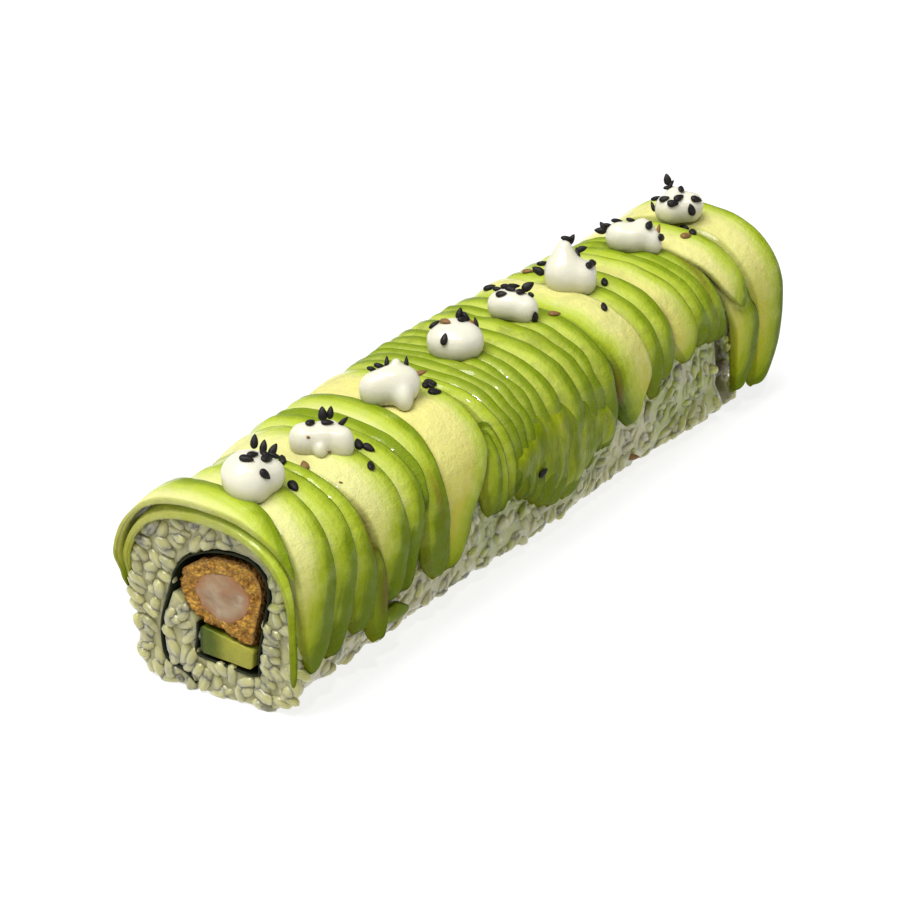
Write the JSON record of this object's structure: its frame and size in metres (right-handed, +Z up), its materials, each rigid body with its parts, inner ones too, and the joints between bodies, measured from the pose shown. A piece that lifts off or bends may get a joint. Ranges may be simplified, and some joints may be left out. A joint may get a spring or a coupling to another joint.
{
  "type": "uramaki roll",
  "caption": "Long uramaki sushi roll: rice wound in nori round a crumbed prawn and cucumber, topped with lapping avocado slices and dollops of mayonnaise with sesame.",
  "frame": {"origin": "middle of the roll's bounding box in plan, on the table the rice rests on", "axes": "+Z up; +X along the roll, from the end that shows its filling towards the separate end slice; -Y is the shown flank"},
  "size_m": [0.1998, 0.0498, 0.0571],
  "materials": {
    "rice": "moist cooked rice",
    "nori": "damp seaweed sheet, faint gloss",
    "crumb": "dry fried crumb",
    "prawn": "moist cooked prawn",
    "cucumber": "wet cut cucumber",
    "avocado": "smooth, slightly oily cut flesh",
    "mayonnaise": "glossy and smooth"
  },
  "bodies": {
    "root": {"avocado_01": "avocado", "avocado_02": "avocado", "avocado_03": "avocado", "avocado_04": "avocado", "avocado_05": "avocado", "avocado_06": "avocado", "avocado_07": "avocado", "avocado_08": "avocado", "avocado_09": "avocado", "avocado_10": "avocado", "avocado_11": "avocado", "avocado_12": "avocado", "avocado_13": "avocado", "avocado_14": "avocado", "avocado_15": "avocado", "avocado_16": "avocado", "avocado_17": "avocado", "avocado_18": "avocado", "avocado_19": "avocado", "avocado_20": "avocado", "avocado_21": "avocado", "avocado_22": "avocado", "avocado_23": "avocado", "avocado_24": "avocado", "avocado_25": "avocado", "avocado_26": "avocado", "avocado_27": "avocado", "avocado_28": "avocado", "avocado_29": "avocado", "avocado_30": "avocado", "avocado_end_last": "avocado", "avocado_end_top": "avocado", "avocado_end_wide": "avocado", "avocado_low": "avocado", "avocado_under": "avocado", "crumb_end": "crumb", "crumb_main": "crumb", "cucumber_end": "cucumber", "cucumber_main": "cucumber", "mayonnaise_1": "mayonnaise", "mayonnaise_2": "mayonnaise", "mayonnaise_3": "mayonnaise", "mayonnaise_4": "mayonnaise", "mayonnaise_5": "mayonnaise", "mayonnaise_6": "mayonnaise", "mayonnaise_7": "mayonnaise", "mayonnaise_8": "mayonnaise", "nori_end": "nori", "nori_main": "nori", "prawn_end": "prawn", "prawn_main": "prawn", "rice_end": "rice", "rice_main": "rice"}
  },
  "joints": []
}
